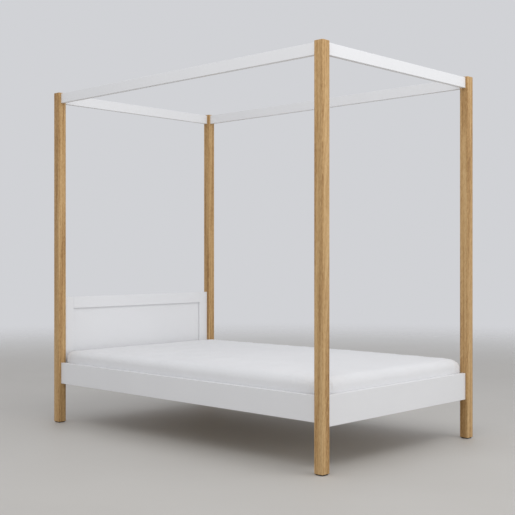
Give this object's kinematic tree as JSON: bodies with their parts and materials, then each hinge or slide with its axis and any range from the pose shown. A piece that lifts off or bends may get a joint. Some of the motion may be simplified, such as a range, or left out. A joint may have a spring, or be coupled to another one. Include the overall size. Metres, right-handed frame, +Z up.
{
  "type": "four poster canopy bed",
  "caption": "Four poster canopy bed: square oak posts, white painted rails and framed headboard, open canopy frame, lift-out slatted base and mattress.",
  "frame": {"origin": "on the floor, under the middle of the bed", "axes": "+Z up, +Y towards the head of the bed, +X towards the right side as seen from the foot"},
  "size_m": [1.29, 2.1, 1.98],
  "materials": {
    "oak": "oiled, fine open grain",
    "white_paint": "sprayed satin white paint",
    "pine": "planed, untreated",
    "steel": "zinc plated",
    "black_plastic": "moulded matt",
    "webbing": "woven cotton tape",
    "mattress_cover": "smooth woven cotton sheet"
  },
  "bodies": {
    "frame": {"post_foot_left": "oak", "glide_foot_left": "black_plastic", "post_foot_right": "oak", "glide_foot_right": "black_plastic", "post_head_left": "oak", "glide_head_left": "black_plastic", "post_head_right": "oak", "glide_head_right": "black_plastic", "side_rail_left": "white_paint", "side_rail_right": "white_paint", "foot_rail": "white_paint", "canopy_rail_left": "white_paint", "canopy_rail_right": "white_paint", "canopy_rail_foot": "white_paint", "canopy_rail_head": "white_paint", "headboard_stile_left": "white_paint", "headboard_stile_right": "white_paint", "headboard_top_rail": "white_paint", "headboard_bottom_rail": "white_paint", "headboard_panel": "white_paint", "slat_ledger_left": "white_paint", "slat_ledger_right": "white_paint", "stud_side_rail_left_foot": "steel", "stud_canopy_left_foot": "steel", "stud_canopy_foot_left": "steel", "stud_side_rail_left_head": "steel", "stud_canopy_left_head": "steel", "stud_canopy_head_left": "steel", "stud_foot_rail_left": "steel", "stud_headboard_left_lower": "steel", "stud_headboard_left_upper": "steel", "stud_side_rail_right_foot": "steel", "stud_canopy_right_foot": "steel", "stud_canopy_foot_right": "steel", "stud_side_rail_right_head": "steel", "stud_canopy_right_head": "steel", "stud_canopy_head_right": "steel", "stud_foot_rail_right": "steel", "stud_headboard_right_lower": "steel", "stud_headboard_right_upper": "steel", "barrel_nut_side_rail_left_foot": "steel", "barrel_nut_side_rail_left_head": "steel", "barrel_nut_side_rail_right_foot": "steel", "barrel_nut_side_rail_right_head": "steel"},
    "slat_base": {"slat_01": "pine", "slat_02": "pine", "slat_03": "pine", "slat_04": "pine", "slat_05": "pine", "slat_06": "pine", "slat_07": "pine", "slat_08": "pine", "slat_09": "pine", "slat_10": "pine", "slat_11": "pine", "slat_12": "pine", "slat_tape_left": "webbing", "slat_tape_right": "webbing"},
    "mattress": {"mattress": "mattress_cover"}
  },
  "joints": [
    {"name": "slat_base_lift", "type": "slide", "parent": "frame", "child": "slat_base", "axis": [0, 0, 1], "range_m": [0, 0.15]},
    {"name": "mattress_lift", "type": "slide", "parent": "slat_base", "child": "mattress", "axis": [0, 0, 1], "range_m": [0, 0.4]}
  ]
}
